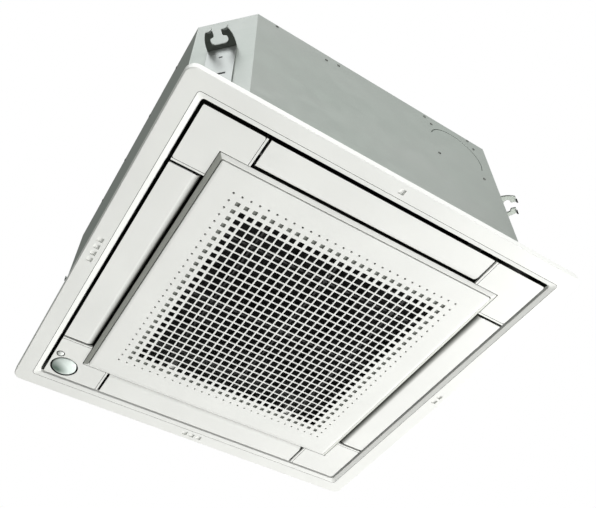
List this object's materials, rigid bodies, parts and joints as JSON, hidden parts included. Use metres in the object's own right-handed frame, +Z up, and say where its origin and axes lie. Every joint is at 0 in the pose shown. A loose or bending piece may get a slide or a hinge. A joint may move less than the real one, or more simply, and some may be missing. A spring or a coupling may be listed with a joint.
{
  "type": "ceiling cassette air conditioner",
  "caption": "Square ceiling-recessed air conditioner with a perforated intake grille, hinged air flaps on all sides, a sensor corner and a hanging steel casing.",
  "frame": {"origin": "centre of the panel in the plane of the ceiling's lower face, on the rim's upper edge", "axes": "+Z up into the ceiling; +X toward the side where the pipes leave; +Y toward the side where the drain leaves; the grille is hinged along -Y"},
  "size_m": [0.64, 0.645, 0.3145],
  "materials": {
    "panel_white": "satin",
    "flap_white": "satin",
    "grille_white": "satin",
    "lens_plastic": "polished",
    "black_plastic": "satin",
    "window_plastic": "satin",
    "galvanised": "brushed",
    "hanger_steel": "brushed",
    "screw_steel": "satin",
    "seal_foam": "matte",
    "pan_foam": "matte",
    "wall_foam": "matte",
    "filter_plastic": "matte",
    "filter_cloth": "matte",
    "latch_white": "satin",
    "fan_plastic": "matte",
    "motor_paint": "satin",
    "rubber_black": "matte",
    "aluminium_fin": "satin",
    "copper": "satin",
    "brass": "satin",
    "grey_plastic": "matte",
    "hose_plastic": "matte",
    "board_green": "satin",
    "terminal_plastic": "matte"
  },
  "bodies": {
    "unit": {"panel_frame": "panel_white", "ceiling_seal": "seal_foam", "panel_seal": "seal_foam", "panel_bolts": "screw_steel", "louver_motor_right": "grey_plastic", "louver_motor_front": "grey_plastic", "louver_motor_left": "grey_plastic", "louver_motor_rear": "grey_plastic", "corner_cover_rear_right": "panel_white", "corner_cover_front_right": "panel_white", "corner_cover_rear_left": "panel_white", "sensor_corner_cover": "panel_white", "sensor_bezel": "black_plastic", "sensor_lens": "lens_plastic", "receiver_window": "window_plastic", "casing_wrap_left": "galvanised", "casing_wrap_right": "galvanised", "top_plate": "galvanised", "casing_screws": "screw_steel", "hanger_brackets": "hanger_steel", "wall_insulation": "wall_foam", "drain_pan": "pan_foam", "drain_plug": "rubber_black", "bell_mouth": "fan_plastic", "coil_fins": "aluminium_fin", "coil_end_plates": "galvanised", "coil_tubes": "copper", "gas_pipe": "copper", "liquid_pipe": "copper", "flare_nuts": "brass", "pipe_plate": "galvanised", "fan_motor": "motor_paint", "motor_rubbers": "rubber_black", "drain_pump_body": "grey_plastic", "drain_hose": "hose_plastic", "drain_outlet": "grey_plastic", "float_guide": "grey_plastic", "control_box": "galvanised", "control_box_lid": "galvanised", "control_board": "board_green", "terminal_block": "terminal_plastic", "cable_gland": "rubber_black", "room_thermistor": "rubber_black"},
    "louver_right": {"louver_right": "flap_white"},
    "louver_front": {"louver_front": "flap_white"},
    "louver_left": {"louver_left": "flap_white"},
    "louver_rear": {"louver_rear": "flap_white"},
    "fan": {"motor_shaft": "screw_steel", "turbo_fan": "fan_plastic", "fan_nut": "screw_steel"},
    "pump_impeller": {"drain_pump_impeller": "fan_plastic"},
    "drain_float": {"drain_float": "pan_foam"},
    "grille": {"intake_grille": "grille_white", "hinge_pins": "screw_steel", "air_filter": "filter_plastic", "filter_mesh": "filter_cloth", "latch_spring_left": "screw_steel", "latch_spring_right": "screw_steel"},
    "latch_left": {"grille_latch_left": "latch_white"},
    "latch_right": {"grille_latch_right": "latch_white"}
  },
  "joints": [
    {"name": "louver_right_hinge", "type": "hinge", "parent": "unit", "child": "louver_right", "pos_m": [0.232, 0, -0.003], "axis": [0, 1, 0], "range_deg": [0, 60]},
    {"name": "louver_front_hinge", "type": "hinge", "parent": "unit", "child": "louver_front", "pos_m": [0, 0.232, -0.003], "axis": [-1, 0, 0], "range_deg": [0, 60]},
    {"name": "louver_left_hinge", "type": "hinge", "parent": "unit", "child": "louver_left", "pos_m": [-0.232, 0, -0.003], "axis": [0, -1, 0], "range_deg": [0, 60]},
    {"name": "louver_rear_hinge", "type": "hinge", "parent": "unit", "child": "louver_rear", "pos_m": [0, -0.232, -0.003], "axis": [1, 0, 0], "range_deg": [0, 60]},
    {"name": "fan_spin", "type": "hinge", "parent": "unit", "child": "fan", "pos_m": [0, 0, 0.19], "axis": [0, 0, 1], "continuous": true},
    {"name": "pump_spin", "type": "hinge", "parent": "unit", "child": "pump_impeller", "pos_m": [0.225, 0.225, 0.14], "axis": [0, 0, 1], "continuous": true},
    {"name": "float_slide", "type": "slide", "parent": "unit", "child": "drain_float", "axis": [0, 0, 1], "range_m": [0, 0.008]},
    {"name": "grille_hinge", "type": "hinge", "parent": "unit", "child": "grille", "pos_m": [0, -0.219, -0.0065], "axis": [-1, 0, 0], "range_deg": [0, 70]},
    {"name": "latch_left_slide", "type": "slide", "parent": "grille", "child": "latch_left", "axis": [0, -1, 0], "range_m": [0, 0.006], "stiffness_N_per_m": 200, "springref_m": -0.004, "deforming": ["latch_spring_left"]},
    {"name": "latch_right_slide", "type": "slide", "parent": "grille", "child": "latch_right", "axis": [0, -1, 0], "range_m": [0, 0.006], "stiffness_N_per_m": 200, "springref_m": -0.004, "deforming": ["latch_spring_right"]}
  ]
}
